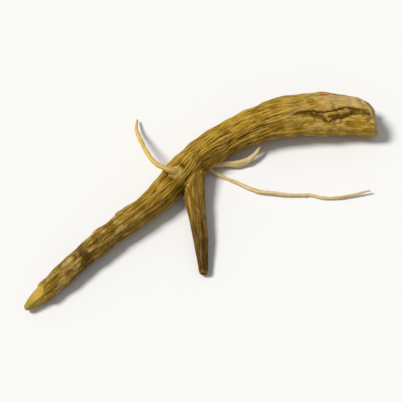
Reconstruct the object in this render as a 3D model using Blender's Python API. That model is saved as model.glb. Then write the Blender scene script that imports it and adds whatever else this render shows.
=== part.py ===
"""Ashwagandha root: one dried tap root with a broken side root and three fine rootlets.

The root lies along X, its peeled thin end towards -X and its broken crown towards +X, and it
rests on the plane Z = 0 by three low places on its underside. The origin is at the middle of
its bounding box's floor. Sizes are in millimetres and become metres where the meshes are made.
All of it grew as one piece, so it is one solid.
"""

import math
import random

import bmesh
import bpy
import numpy as np

MM = 0.001
FULL_TURN = 2 * math.pi

# Routes: x, y and z of the centre line and the radius there
MAIN_ROUTE = (
    (-55.4, -9.5, 2.1, 1.5),
    (-52.2, -8.8, 2.5, 2.3),
    (-47.0, -7.5, 2.73, 2.8),
    (-37.0, -4.9, 3.4, 3.1),
    (-25.0, -2.4, 3.9, 3.3),
    (-12.0, -0.4, 4.3, 3.7),
    (-1.5, 3.0, 4.75, 4.5),
    (9.0, 6.0, 4.5, 4.6),
    (20.0, 6.1, 5.1, 4.8),
    (32.0, 3.5, 5.9, 5.5),
    (42.5, -1.5, 5.72, 5.8),
    (49.0, -5.7, 5.3, 5.3),
    (54.0, -10.0, 5.1, 4.6),
)
SIDE_ROUTE = (
    (3.0, 3.3, 4.1, 3.3),
    (1.4, -0.3, 3.8, 3.2),
    (-0.7, -4.2, 3.4, 2.85),
    (-3.2, -10.1, 2.9, 2.4),
    (-5.9, -16.3, 2.3, 2.0),
    (-8.6, -21.4, 2.0, 1.6),
    (-10.5, -25.2, 1.7, 1.2),
)
HOOK_ROUTE = (
    (7.5, 4.6, 3.6, 0.7),
    (9.0, 2.6, 2.7, 0.7),
    (12.4, 1.4, 1.7, 0.85),
    (15.5, -0.3, 1.4, 0.95),
    (18.6, -1.1, 1.7, 0.85),
    (21.0, -0.7, 2.3, 0.6),
    (23.0, 0.1, 3.1, 0.3),
)
THREAD_ROUTE = (
    (6.8, 4.0, 3.0, 0.6),
    (8.0, 1.8, 1.6, 0.55),
    (10.3, -1.8, 0.6, 0.5),
    (12.4, -5.2, 0.6, 0.5),
    (16.0, -11.1, 1.0, 0.5),
    (18.5, -13.3, 1.2, 0.48),
    (22.6, -16.4, 0.8, 0.46),
    (27.2, -19.1, 0.6, 0.44),
    (30.0, -22.0, 0.6, 0.42),
    (33.8, -24.3, 0.8, 0.38),
    (38.0, -25.9, 1.1, 0.34),
    (41.5, -27.1, 1.5, 0.26),
)
ARCH_ROUTE = (
    (-1.6, 2.2, 7.6, 0.95),
    (-3.3, 2.2, 9.9, 0.85),
    (-4.9, 3.3, 11.0, 0.75),
    (-6.1, 5.2, 11.2, 0.7),
    (-6.6, 8.2, 10.6, 0.65),
    (-6.1, 12.0, 9.2, 0.62),
    (-5.2, 16.4, 7.2, 0.6),
    (-4.0, 21.0, 4.8, 0.55),
    (-2.6, 24.5, 2.6, 0.45),
    (-0.8, 27.3, 1.2, 0.3),
)

# How finely each strand is cut into rings and sides
MAIN_SIDES = 52
MAIN_RING_GAP = 1.75
SIDE_SIDES = 18
SIDE_RING_GAP = 1.5
ROOTLET_SIDES = 8
ROOTLET_RING_GAP = 1.3
# Points closer than this are one point, and folds steeper than this many degrees stay crisp
MERGE_DISTANCE = 0.001
SHARP_ANGLE = 50

# Closed ends: share of the radius and distance past the last ring, from the rim inwards
THIN_END = ((0.9, 0.5), (0.62, 0.95), (0.3, 1.15), (0.0, 1.2))
CROWN_END = ((0.95, 0.45), (0.78, 0.75), (0.5, 0.45), (0.24, 0.6), (0.0, 0.5))
SIDE_END = ((0.8, 0.45), (0.4, 0.6), (0.0, 0.45))
ROOTLET_END = ((0.6, 0.2), (0.0, 0.3))

# Angles go round a strand: 0 faces the viewer's side, a quarter turn is up
UNDERSIDE = 1.5 * math.pi
UNDERSIDE_SPREAD = 0.55
UNDERSIDE_CALM = 0.75

# Broad lobes of the main root: count, share of the radius, starting angle, turn per millimetre
LOBES = ((2, 0.04, 0.9, 1 / 70), (3, 0.03, 2.2, -1 / 55), (5, 0.022, 0.4, 1 / 90))
# Long ridges, larger than life: count, height, wander in radians, length of a wander
MAIN_RIDGES = ((10, 0.17, 1.6, 9.0), (16, 0.13, 2.2, 7.0))
SIDE_RIDGES = ((5, 0.14, 0.9, 6.0), (7, 0.10, 1.2, 5.0))
# Slow swellings and nips along the main root: height and length of a swelling
SWELLINGS = ((0.10, 11.0), (0.07, 5.3))

# The peeled thin end, without bark up to a slanting, ragged edge; the edge's waves are a count,
# a length and a starting angle
PEELED_LENGTH = 4.4
BARK_THICKNESS = 0.35
BARK_EDGE_RUN = 0.35
BARK_EDGE_WAVES = ((1, 1.1, -2.7), (1, 1.0, -1.13), (2, 0.5, 0.88), (3, 0.25, 0.4))
RAGGED_REACH = 2.4

# Lips where the bark of the back shoulder starts again: distance, length and height
BARK_LIPS = ((25.5, 7.0, 0.45), (33.0, 9.0, 0.55))
LIP_ANGLE = 2.5
LIP_WIDTH = 0.6

# The split along the crown: distance along the root and angle, its width and depth, the length
# over which it opens, and the share of the depth that it gains only near the broken end
SPLIT_LINE = ((89.0, 1.2), (97.0, 1.1), (102.5, 0.78), (106.5, 0.88), (110.0, 1.25), (118.0, 1.4))
SPLIT_WIDTH = 0.85
SPLIT_DEPTH = 1.3
SPLIT_RUN_IN = 9.0
SPLIT_EASE = 0.25

# Bumps and pits: distance, angle, half-length, half-width and height
BUMPS = (
    (16.0, 1.62, 1.6, 1.1, 0.25),
    (54.5, 1.57, 1.6, 1.4, 0.5),
    (72.5, 1.15, 1.5, 0.8, 0.4),
    (36.0, 3.9, 1.2, 0.9, 0.4),
    (64.0, 2.9, 1.5, 1.1, 0.5),
    (88.0, 3.3, 1.8, 1.3, 0.5),
    (95.0, 5.6, 1.4, 1.0, -0.5),
    (102.0, 2.35, 1.1, 1.0, -0.7),
)

# The crown's break leans, so its viewer's side reaches further; its rim is chipped in waves
CROWN_LEAN = 1.0
CROWN_LEAN_ANGLE = -0.6
CROWN_LEAN_RUN = 9.0
CROWN_CHIPS = ((3, 0.3, 0.7), (5, 0.2, 2.0))

# Its upper far side is broken away further: which way that faces, how wide it is and how deep
CROWN_BITE_ANGLE = 2.25
CROWN_BITE_SPREAD = 0.6
CROWN_BITE_DEPTH = 3.0

BARK_COLOUR = (0.30, 0.19, 0.065, 1.0)
BARK_ROUGHNESS = 0.75

random_phase = random.Random(17)


class Route:
    """A strand's smooth centre line, read at any distance along it."""

    def __init__(self, points, steps_per_span=40):
        knots = np.array(points)
        gaps = np.linalg.norm(np.diff(knots[:, :3], axis=0), axis=1)
        places = np.concatenate(([0.0], np.cumsum(gaps)))
        slopes = np.gradient(knots, places, axis=0)
        rows = []
        for i, gap in enumerate(gaps):
            t = np.linspace(0.0, 1.0, steps_per_span, endpoint=False)[:, None]
            rows.append(
                (2 * t**3 - 3 * t**2 + 1) * knots[i]
                + (t**3 - 2 * t**2 + t) * gap * slopes[i]
                + (3 * t**2 - 2 * t**3) * knots[i + 1]
                + (t**3 - t**2) * gap * slopes[i + 1]
            )
        line = np.concatenate((*rows, knots[-1:]))
        self.centre = line[:, :3]
        self.radius = line[:, 3]
        steps = np.linalg.norm(np.diff(self.centre, axis=0), axis=1)
        self.distance = np.concatenate(([0.0], np.cumsum(steps)))
        self.length = self.distance[-1]
        self.along = unit(np.gradient(self.centre, self.distance, axis=0))
        self.across = unit(np.cross(self.along, (0.0, 0.0, 1.0)))
        self.rise = np.cross(self.across, self.along)

    def read(self, values, distance):
        """The values of one of the route's lists at the given distances."""
        if values.ndim == 1:
            return np.interp(distance, self.distance, values)
        columns = [np.interp(distance, self.distance, column) for column in values.T]
        return np.stack(columns, axis=-1)

    def place(self, distance, angle, radius, beyond):
        """Points round the centre line, pushed beyond along it, in millimetres."""
        outward = (
            np.cos(angle)[..., None] * self.read(self.across, distance)
            + np.sin(angle)[..., None] * self.read(self.rise, distance)
        )
        centre = self.read(self.centre, distance)
        forward = self.read(self.along, distance)
        return centre + radius[..., None] * outward + beyond[..., None] * forward


def unit(vectors):
    """The same directions, each of length 1."""
    return vectors / np.linalg.norm(vectors, axis=-1, keepdims=True)


def smooth_step(value):
    """Eases from 0 to 1 as the value goes from 0 to 1."""
    value = np.clip(value, 0.0, 1.0)
    return value * value * (3 - 2 * value)


def turn_apart(angle, other):
    """The shorter way round from one angle to another, in radians."""
    return (angle - other + math.pi) % FULL_TURN - math.pi


def hump(distance, angle, radius, place, facing, half_length, half_width):
    """A rounded bump of height 1 on the surface at a place and angle."""
    around = turn_apart(angle, facing) * radius
    return np.exp(-(((distance - place) / half_length) ** 2) - (around / half_width) ** 2)


def waves(angle, pattern):
    """A rim's ups and downs round the strand: count, height and starting angle of each wave."""
    return sum(height * np.cos(count * angle + start) for count, height, start in pattern)


def ridges(distance, angle, pattern):
    """Long wavy ridges that wander, meet and part again, in millimetres."""
    height = 0.0
    for count, rise, wander, pace in pattern:
        phase = random_phase.uniform(0.0, FULL_TURN)
        drift = wander * np.sin(distance / pace + phase) + phase
        height = height + rise * np.cos(count * angle + drift)
    return height


def clear_all():
    """Starts with nothing in the scene."""
    for thing in list(bpy.data.objects):
        bpy.data.objects.remove(thing)


def rings_of(route, gap, near_end, far_end, extra=()):
    """Distance, share of the radius and overshoot of every ring, both closed ends included."""
    count = round(route.length / gap)
    body = sorted([*np.linspace(0.0, route.length, count + 1), *extra])
    rows = [(0.0, share, -past) for share, past in reversed(near_end)]
    rows += [(distance, 1.0, 0.0) for distance in body]
    rows += [(route.length, share, past) for share, past in far_end]
    return np.array(rows)


def wrapped_mesh(name, places):
    """A closed tube: a grid wrapped round the rings, its seam and its two end points merged."""
    rings, sides = places.shape[:2]
    tube = bmesh.new()
    bmesh.ops.create_grid(tube, x_segments=sides, y_segments=rings - 1, size=1.0)
    for vert in tube.verts:
        side = round((vert.co.x + 1) / 2 * sides) % sides
        ring = round((vert.co.y + 1) / 2 * (rings - 1))
        vert.co = places[ring, side] * MM
    bmesh.ops.remove_doubles(tube, verts=tube.verts, dist=MERGE_DISTANCE * MM)
    bmesh.ops.recalc_face_normals(tube, faces=tube.faces)
    mesh = bpy.data.meshes.new(name)
    tube.to_mesh(mesh)
    tube.free()
    wrapped = bpy.data.objects.new(name, mesh)
    bpy.context.scene.collection.objects.link(wrapped)
    return wrapped


def split_depth(distance, angle, radius, length):
    """How deep the crown's split cuts, in millimetres."""
    line_distance, line_angle = np.array(SPLIT_LINE).T
    facing = np.interp(distance, line_distance, line_angle)
    around = turn_apart(angle, facing) * radius
    run_in = smooth_step((distance - line_distance[0]) / SPLIT_RUN_IN)
    near_crown = smooth_step((distance - length + SPLIT_RUN_IN) / SPLIT_RUN_IN)
    deeper = 1.0 - SPLIT_EASE * (1.0 - near_crown)
    return SPLIT_DEPTH * run_in * deeper * np.exp(-((around / SPLIT_WIDTH) ** 2))


def main_radius(route, distance, angle):
    """The main root's radius with its lobes, ridges, bark edges, split and bumps."""
    radius = route.read(route.radius, distance)
    relief = ridges(distance, angle, MAIN_RIDGES) * smooth_step(distance / PEELED_LENGTH)
    for count, share, start, turn in LOBES:
        relief = relief + radius * share * np.cos(count * (angle - start - distance * turn))
    for height, length in SWELLINGS:
        relief = relief + height * np.sin(distance / length * FULL_TURN)
    under = turn_apart(angle, UNDERSIDE) / UNDERSIDE_SPREAD
    relief = relief * (1.0 - UNDERSIDE_CALM * np.exp(-(under**2)))
    for place, facing, half_length, half_width, height in BUMPS:
        relief = relief + height * hump(distance, angle, radius, place, facing, half_length, half_width)
    has_bark = smooth_step((distance - PEELED_LENGTH) / BARK_EDGE_RUN)
    relief = relief - BARK_THICKNESS * (1.0 - has_bark)
    on_shoulder = np.exp(-((turn_apart(angle, LIP_ANGLE) / LIP_WIDTH) ** 2))
    for start, length, height in BARK_LIPS:
        rise = smooth_step((distance - start) / BARK_EDGE_RUN)
        fall = 1.0 - smooth_step((distance - start) / length)
        relief = relief + height * rise * fall * on_shoulder
    return radius + relief - split_depth(distance, angle, radius, route.length)


def main_root():
    """The tap root itself."""
    route = Route(MAIN_ROUTE)
    starts = np.array([PEELED_LENGTH, *(lip[0] for lip in BARK_LIPS)])
    rows = rings_of(route, MAIN_RING_GAP, THIN_END, CROWN_END, (*starts, *(starts + BARK_EDGE_RUN)))
    angle = np.arange(MAIN_SIDES) / MAIN_SIDES * FULL_TURN
    distance, angle = np.meshgrid(rows[:, 0], angle, indexing="ij")
    share = rows[:, 1][:, None]
    radius = main_radius(route, distance, angle) * share
    past = np.broadcast_to(rows[:, 2][:, None], distance.shape)

    near_edge = np.exp(-(((distance - PEELED_LENGTH) / RAGGED_REACH) ** 2))
    near_crown = smooth_step((distance - route.length + CROWN_LEAN_RUN) / CROWN_LEAN_RUN)
    ragged = waves(angle, BARK_EDGE_WAVES)
    bite = np.exp(-((turn_apart(angle, CROWN_BITE_ANGLE) / CROWN_BITE_SPREAD) ** 2))
    lean = CROWN_LEAN * np.cos(angle - CROWN_LEAN_ANGLE) + waves(angle, CROWN_CHIPS)
    lean = lean - CROWN_BITE_DEPTH * bite
    past = past + (near_edge * ragged + near_crown * lean) * share
    return wrapped_mesh("root", route.place(distance, angle, radius, past))


def strand(name, points, sides, gap, far_end, pattern=()):
    """A side root or rootlet: its first ring lies inside the root that it grows from."""
    route = Route(points)
    rows = rings_of(route, gap, ROOTLET_END, far_end)
    angle = np.arange(sides) / sides * FULL_TURN
    distance, angle = np.meshgrid(rows[:, 0], angle, indexing="ij")
    radius = route.read(route.radius, distance) + ridges(distance, angle, pattern)
    radius = radius * rows[:, 1][:, None]
    past = np.broadcast_to(rows[:, 2][:, None], distance.shape)
    return wrapped_mesh(name, route.place(distance, angle, radius, past))


def fuse(body, strands):
    """Joins the strands to the body in one solid."""
    bunch = bpy.data.collections.new("strands")
    for thing in strands:
        bunch.objects.link(thing)
    union = body.modifiers.new("union", "BOOLEAN")
    union.operation = "UNION"
    union.operand_type = "COLLECTION"
    union.collection = bunch
    union.solver = "EXACT"
    depsgraph = bpy.context.evaluated_depsgraph_get()
    joined = bpy.data.meshes.new_from_object(body.evaluated_get(depsgraph))
    body.modifiers.clear()
    body.data = joined
    for thing in strands:
        bpy.data.objects.remove(thing)
    bpy.data.collections.remove(bunch)


def flatten_underside(body):
    """Cuts the lowest places off at the table, which leaves small flat spots to rest on."""
    solid = bmesh.new()
    solid.from_mesh(body.data)
    everything = [*solid.verts, *solid.edges, *solid.faces]
    cut = bmesh.ops.bisect_plane(
        solid,
        geom=everything,
        dist=MERGE_DISTANCE * MM,
        plane_co=(0, 0, 0),
        plane_no=(0, 0, -1),
        clear_outer=True,
    )
    rims = [piece for piece in cut["geom_cut"] if isinstance(piece, bmesh.types.BMEdge)]
    bmesh.ops.holes_fill(solid, edges=rims, sides=0)
    bmesh.ops.triangulate(solid, faces=solid.faces)
    solid.to_mesh(body.data)
    solid.free()


def bark_material():
    """Dull yellow-brown bark."""
    bark = bpy.data.materials.new("dried root bark")
    bark.use_nodes = True
    shader = bark.node_tree.nodes["Principled BSDF"]
    shader.inputs["Base Color"].default_value = BARK_COLOUR
    shader.inputs["Roughness"].default_value = BARK_ROUGHNESS
    shader.inputs["Metallic"].default_value = 0.0
    return bark


def build():
    """The whole root, fused and resting on its three low places."""
    clear_all()
    root = main_root()
    strands = [
        strand("side root", SIDE_ROUTE, SIDE_SIDES, SIDE_RING_GAP, SIDE_END, SIDE_RIDGES),
        strand("hook rootlet", HOOK_ROUTE, ROOTLET_SIDES, ROOTLET_RING_GAP, ROOTLET_END),
        strand("thread rootlet", THREAD_ROUTE, ROOTLET_SIDES, ROOTLET_RING_GAP, ROOTLET_END),
        strand("arch rootlet", ARCH_ROUTE, ROOTLET_SIDES, ROOTLET_RING_GAP, ROOTLET_END),
    ]
    fuse(root, strands)
    flatten_underside(root)
    root.data.materials.clear()
    root.data.materials.append(bark_material())
    root.data.shade_smooth()
    root.data.set_sharp_from_angle(angle=math.radians(SHARP_ANGLE))


build()
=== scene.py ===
"""Dried ashwagandha root on a pale studio floor: the fine surface of one broken tap root.

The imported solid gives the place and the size. The same strands are grown here along the same
routes, far finer, then fused in one skin, wrinkled and coloured. Lengths are in millimetres where
no other unit is named, and finished meshes are in metres. Angles go round a strand in radians: 0
faces the viewer's side and a quarter turn is up.
"""

import logging
import math
import random
from dataclasses import dataclass, field
from enum import Enum

import bmesh
import bpy
import numpy as np
from bmesh.types import BMesh
from bpy.types import ID, Material, Mesh, Node, NodeSocket, NodeTree, Object, bpy_prop_collection
from mathutils import Euler, Matrix, Vector, noise


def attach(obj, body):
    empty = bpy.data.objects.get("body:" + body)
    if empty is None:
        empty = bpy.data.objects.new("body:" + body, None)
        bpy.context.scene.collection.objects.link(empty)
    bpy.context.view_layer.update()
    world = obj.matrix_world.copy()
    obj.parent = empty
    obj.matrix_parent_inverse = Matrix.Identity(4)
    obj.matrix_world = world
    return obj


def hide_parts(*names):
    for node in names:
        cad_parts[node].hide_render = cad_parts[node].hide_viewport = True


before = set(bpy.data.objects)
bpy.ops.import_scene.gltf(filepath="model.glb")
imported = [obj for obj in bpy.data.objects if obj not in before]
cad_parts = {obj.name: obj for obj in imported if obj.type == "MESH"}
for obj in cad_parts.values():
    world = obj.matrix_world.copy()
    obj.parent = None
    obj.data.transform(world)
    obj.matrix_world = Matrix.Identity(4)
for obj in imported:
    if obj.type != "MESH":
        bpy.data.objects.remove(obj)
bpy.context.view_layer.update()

log = logging.getLogger("ashwagandha")

MM = 0.001
FULL_TURN = 2 * math.pi
UNDERSIDE = 1.5 * math.pi
# Points closer than this are one point
MERGE_DISTANCE = 0.001
# A direction's length is never taken as less than this
LEAST_LENGTH = 1e-12
# Noise cells are turned by these angles, so that no row of cells runs along or round a strand
LATTICE_ANGLES = (0.6, 0.9, 0.4)
LATTICE_TURN = np.array(Euler(LATTICE_ANGLES).to_matrix())

Array = np.ndarray
Stops = tuple[tuple[float, float, float, float], ...]
EndRings = tuple[tuple[float, float], ...]
# Count, height and starting angle of each wave round a strand
Waves = tuple[tuple[int, float, float], ...]
# Distance along a strand and the value there, for as many places as it takes
Course = tuple[tuple[float, float], ...]

# Routes: x, y and z of the centre line and the radius there
MAIN_ROUTE: Stops = (
    (-55.4, -9.5, 2.1, 1.5),
    (-52.2, -8.8, 2.5, 2.3),
    (-47.0, -7.5, 2.73, 2.8),
    (-37.0, -4.9, 3.4, 3.1),
    (-25.0, -2.4, 3.9, 3.3),
    (-12.0, -0.4, 4.3, 3.7),
    (-1.5, 3.0, 4.75, 4.5),
    (9.0, 6.0, 4.5, 4.6),
    (20.0, 6.1, 5.1, 4.8),
    (32.0, 3.5, 5.9, 5.5),
    (42.5, -1.5, 5.72, 5.8),
    (49.0, -5.7, 5.3, 5.3),
    (54.0, -10.0, 5.1, 4.6),
)
SIDE_ROUTE: Stops = (
    (3.0, 3.3, 4.1, 3.3),
    (1.4, -0.3, 3.8, 3.2),
    (-0.7, -4.2, 3.4, 2.85),
    (-3.2, -10.1, 2.9, 2.4),
    (-5.9, -16.3, 2.3, 2.0),
    (-8.6, -21.4, 2.0, 1.6),
    (-10.5, -25.2, 1.7, 1.2),
)
HOOK_ROUTE: Stops = (
    (7.5, 4.6, 3.6, 0.7),
    (9.0, 2.6, 2.7, 0.7),
    (12.4, 1.4, 1.7, 0.85),
    (15.5, -0.3, 1.4, 0.95),
    (18.6, -1.1, 1.7, 0.85),
    (21.0, -0.7, 2.3, 0.6),
    (23.0, 0.1, 3.1, 0.3),
)
THREAD_ROUTE: Stops = (
    (6.8, 4.0, 3.0, 0.6),
    (8.0, 1.8, 1.6, 0.55),
    (10.3, -1.8, 0.6, 0.5),
    (12.4, -5.2, 0.6, 0.5),
    (16.0, -11.1, 1.0, 0.5),
    (18.5, -13.3, 1.2, 0.48),
    (22.6, -16.4, 0.8, 0.46),
    (27.2, -19.1, 0.6, 0.44),
    (30.0, -22.0, 0.6, 0.42),
    (33.8, -24.3, 0.8, 0.38),
    (38.0, -25.9, 1.1, 0.34),
    (41.5, -27.1, 1.5, 0.26),
)
ARCH_ROUTE: Stops = (
    (-1.6, 2.2, 7.6, 0.95),
    (-3.3, 2.2, 9.9, 0.85),
    (-4.9, 3.3, 11.0, 0.75),
    (-6.1, 5.2, 11.2, 0.7),
    (-6.6, 8.2, 10.6, 0.65),
    (-6.1, 12.0, 9.2, 0.62),
    (-5.2, 16.4, 7.2, 0.6),
    (-4.0, 21.0, 4.8, 0.55),
    (-2.6, 24.5, 2.6, 0.45),
    (-0.8, 27.3, 1.2, 0.3),
)

# Closed ends: share of the radius and distance past the last ring, from the rim inwards
THIN_END: EndRings = (
    (0.97, 0.2), (0.9, 0.45), (0.8, 0.7), (0.66, 0.9), (0.5, 1.05), (0.33, 1.15), (0.16, 1.2),
    (0.0, 1.2),
)
SIDE_END: EndRings = (
    (0.95, 0.16), (0.86, 0.32), (0.74, 0.4), (0.6, 0.42), (0.45, 0.46), (0.28, 0.42), (0.12, 0.45),
    (0.0, 0.45),
)
ROOTLET_END: EndRings = ((0.8, 0.1), (0.55, 0.18), (0.25, 0.26), (0.0, 0.3))
CROWN_END: EndRings = (
    (0.995, 0.12), (0.98, 0.26), (0.96, 0.36), (0.935, 0.4), (0.91, 0.36), (0.89, 0.28), (0.87, 0.2),
    (0.85, 0.17), (0.82, 0.2), (0.78, 0.28), (0.73, 0.34), (0.68, 0.36), (0.62, 0.38), (0.56, 0.42),
    (0.5, 0.44), (0.44, 0.46), (0.38, 0.5), (0.32, 0.52), (0.26, 0.54), (0.2, 0.54), (0.14, 0.5),
    (0.08, 0.44), (0.0, 0.42),
)


class Layer(Enum):
    """The mesh attributes that the bark's finish reads."""

    STRAIGHT = "straight"
    HOLLOW = "hollow"
    DEEP = "deep"
    BARE = "bare"
    BROKEN = "broken"
    OLIVE = "olive"
    RIM = "rim"
    FINE = "fine"
    GOLDEN = "golden"
    WRINKLED = "wrinkled"
    MOTTLED = "mottled"
    CRACKED = "cracked"
    DARK = "dark"
    SCAR = "scar"
    PALE = "pale"
    GREEN = "green"
    RED = "red"


# What reads each layer in a material
Sockets = dict[Layer, NodeSocket]


def unit(vectors: Array) -> Array:
    """The same directions, each of length 1."""
    return vectors / np.maximum(np.linalg.norm(vectors, axis=-1, keepdims=True), LEAST_LENGTH)


def smooth_step(value: Array) -> Array:
    """Eases from 0 to 1 as the value goes from 0 to 1."""
    value = np.clip(value, 0.0, 1.0)
    return value * value * (3 - 2 * value)


def fade(apart: Array, reach: float, power: int = 2) -> Array:
    """1 where nothing lies apart, falling to 0 past the reach."""
    return np.exp(-((apart / reach) ** power))


def turn_apart(angle: Array, other: Array | float) -> Array:
    """The shorter way round from one angle to another."""
    return (angle - other + math.pi) % FULL_TURN - math.pi


def follow(course: Course, distance: Array) -> Array:
    """Reads a course at distances along its strand."""
    places, values = np.array(course).T
    return np.interp(distance, places, values)


def waves_at(angle: Array, waves: Waves) -> Array:
    """The ups and downs of waves round a strand."""
    return sum(height * np.cos(count * angle + start) for count, height, start in waves)


def cloud(points: Array) -> Array:
    """Smooth noise, mostly between -0.6 and 0.6, one cell a unit.

    Args:
        points: places in cells, along the last axis.

    Returns:
        One value for each place.
    """
    rows = (points.reshape(-1, 3) @ LATTICE_TURN).tolist()
    values = np.fromiter((noise.noise(row) for row in rows), float, len(rows))
    return values.reshape(points.shape[:-1])


def linear(colour: str) -> tuple[float, float, float, float]:
    """Turns an sRGB hex colour to the linear values that a shader takes.

    Args:
        colour: a hash and six hex digits.

    Returns:
        Red, green, blue and an alpha of 1.
    """
    parts = [int(colour[i : i + 2], 16) / 255 for i in (1, 3, 5)]
    red, green, blue = (p / 12.92 if p <= 0.04045 else ((p + 0.055) / 1.055) ** 2.4 for p in parts)
    return red, green, blue, 1.0


def add_node(tree: NodeTree, kind: str, inputs: dict[str | int, object], **settings: object) -> Node:
    """Adds a node with its settings, its inputs' values and the links into it.

    Args:
        tree: the node tree to add to.
        kind: the node's type name.
        inputs: a value or another node's output for each input, by name or number.
        settings: the node's own properties.

    Returns:
        The new node.
    """
    node = tree.nodes.new(kind)
    for name, value in settings.items():
        setattr(node, name, value)
    for name, value in inputs.items():
        if isinstance(value, NodeSocket):
            tree.links.new(value, node.inputs[name])
        else:
            node.inputs[name].default_value = value
    return node


def show(name: str, shape: BMesh | ID) -> Object:
    """Puts a bmesh, a lamp or a camera in the scene, at the origin and unturned.

    Args:
        name: the object's name.
        shape: what it shows.

    Returns:
        The object.
    """
    if isinstance(shape, BMesh):
        mesh = bpy.data.meshes.new(name)
        shape.to_mesh(mesh)
        shape.free()
        shape = mesh
    shown = bpy.data.objects.new(name, shape)
    bpy.context.scene.collection.objects.link(shown)
    return shown


def read_rows(items: bpy_prop_collection, name: str, width: int = 3, kind: type = float) -> Array:
    """Reads one property of all of a mesh's points, edges or normals.

    Args:
        items: the points, edges or normals.
        name: the property's name.
        width: how many numbers each has.
        kind: what kind of number.

    Returns:
        The numbers, one item a row.
    """
    values = np.empty(len(items) * width, kind)
    items.foreach_get(name, values)
    return values.reshape(-1, width)


def read_places(mesh: Mesh) -> Array:
    """A mesh's points in millimetres, one a row."""
    return read_rows(mesh.vertices, "co") / MM


def write_places(mesh: Mesh, places: Array) -> None:
    """Moves a mesh's points to places in millimetres."""
    mesh.vertices.foreach_set("co", (places * MM).ravel())
    mesh.update()


def write_layer(mesh: Mesh, layer: Layer, values: Array) -> None:
    """Keeps one value or vector for each point, for the finish to read.

    Args:
        mesh: the mesh to keep it on.
        layer: which of the finish's layers it is.
        values: one number or one row of three for each point.
    """
    kind, part = ("FLOAT_VECTOR", "vector") if values.ndim == 2 else ("FLOAT", "value")
    attribute = mesh.attributes.new(layer.value, kind, "POINT")
    attribute.data.foreach_set(part, values.astype(np.float32).ravel())


@dataclass
class Spot:
    """Where points lie on a strand.

    Args:
        distance: how far along its centre line.
        angle: the way round it.
        radius: the strand's plain radius there.
    """

    distance: Array
    angle: Array
    radius: Array


@dataclass
class Reading(Spot):
    """Where points in space lie, seen from a strand's centre line.

    Args:
        off: how far from the line.
        beyond: how far past the line's far end, and negative before it.
        outward: the direction from the line to each point.
    """

    off: Array
    beyond: Array
    outward: Array

    @property
    def gap(self) -> Array:
        """How far the points lie outside the strand's plain tube."""
        return self.off - self.radius

    def pick(self, some: Array) -> "Reading":
        """The reading of only some of the points, given by their numbers."""
        return Reading(*(values[some] for values in vars(self).values()))


class Route:
    """A strand's smooth centre line, read at any distance along it."""

    def __init__(self, stops: Stops, steps_per_span: int = 40) -> None:
        """Draws the line through its stops.

        Args:
            stops: x, y, z and radius at each stop.
            steps_per_span: how many short steps the line has from stop to stop.
        """
        knots = np.array(stops)
        gaps = np.linalg.norm(np.diff(knots[:, :3], axis=0), axis=1)
        places = np.concatenate(([0.0], np.cumsum(gaps)))
        slopes = np.gradient(knots, places, axis=0)
        rows = []
        for i, gap in enumerate(gaps):
            t = np.linspace(0.0, 1.0, steps_per_span, endpoint=False)[:, None]
            rows.append(
                (2 * t**3 - 3 * t**2 + 1) * knots[i]
                + (t**3 - 2 * t**2 + t) * gap * slopes[i]
                + (3 * t**2 - 2 * t**3) * knots[i + 1]
                + (t**3 - t**2) * gap * slopes[i + 1]
            )
        line = np.concatenate((*rows, knots[-1:]))
        self.centre = line[:, :3]
        self.radius = line[:, 3]
        steps = np.linalg.norm(np.diff(self.centre, axis=0), axis=1)
        self.distance = np.concatenate(([0.0], np.cumsum(steps)))
        self.length = float(self.distance[-1])
        self.along = unit(np.gradient(self.centre, self.distance, axis=0))
        self.across = unit(np.cross(self.along, (0.0, 0.0, 1.0)))
        self.rise = np.cross(self.across, self.along)

    def read(self, vectors: Array, distance: Array) -> Array:
        """Reads one of the route's own lists of vectors at distances along it."""
        return np.stack([np.interp(distance, self.distance, column) for column in vectors.T], axis=-1)

    def spot(self, distance: Array, angle: Array) -> Spot:
        """The spot at distances along the line and angles round it."""
        return Spot(distance, angle, np.interp(distance, self.distance, self.radius))

    def place(self, spot: Spot, radius: Array, beyond: Array) -> Array:
        """Finds points round the centre line.

        Args:
            spot: where along and round it they are.
            radius: how far from it they are.
            beyond: how far they are pushed along its direction.

        Returns:
            Places in millimetres.
        """
        outward = (
            np.cos(spot.angle)[..., None] * self.read(self.across, spot.distance)
            + np.sin(spot.angle)[..., None] * self.read(self.rise, spot.distance)
        )
        centre = self.read(self.centre, spot.distance)
        forward = self.read(self.along, spot.distance)
        return centre + radius[..., None] * outward + beyond[..., None] * forward

    def look(self, points: Array, batch: int = 20000) -> Reading:
        """Finds where points lie along and round the line.

        Args:
            points: places in millimetres, one a row.
            batch: how many are measured at once.

        Returns:
            The reading of every point.
        """
        nearest = np.empty(len(points), int)
        square = (self.centre**2).sum(axis=1)
        for start in range(0, len(points), batch):
            some = points[start : start + batch]
            nearest[start : start + batch] = (square - 2 * some @ self.centre.T).argmin(axis=1)
        past = ((points - self.centre[nearest]) * self.along[nearest]).sum(axis=1)
        reach = self.distance[nearest] + past
        distance = np.clip(reach, 0.0, self.length)
        apart = points - self.read(self.centre, distance)
        sideways = (apart * self.read(self.across, distance)).sum(axis=1)
        upwards = (apart * self.read(self.rise, distance)).sum(axis=1)
        spot = self.spot(distance, np.arctan2(upwards, sideways) % FULL_TURN)
        off = np.linalg.norm(apart, axis=1)
        return Reading(**vars(spot), off=off, beyond=reach - self.length, outward=unit(apart))


@dataclass(frozen=True)
class Ridges:
    """Long wavy ridges round a strand that wander, meet and part again.

    Args:
        count: how many there are round the strand.
        height: how far they stand out.
        wander: how far they swing, in radians of their own spacing.
        pace: the length of a swing for each radian.
        phase: where they start.
    """

    count: int
    height: float
    wander: float
    pace: float
    phase: float

    def rise(self, spot: Spot) -> Array:
        """The ridges' height at a spot."""
        drift = self.wander * np.sin(spot.distance / self.pace + self.phase) + self.phase
        return self.height * np.cos(self.count * spot.angle + drift)


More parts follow.
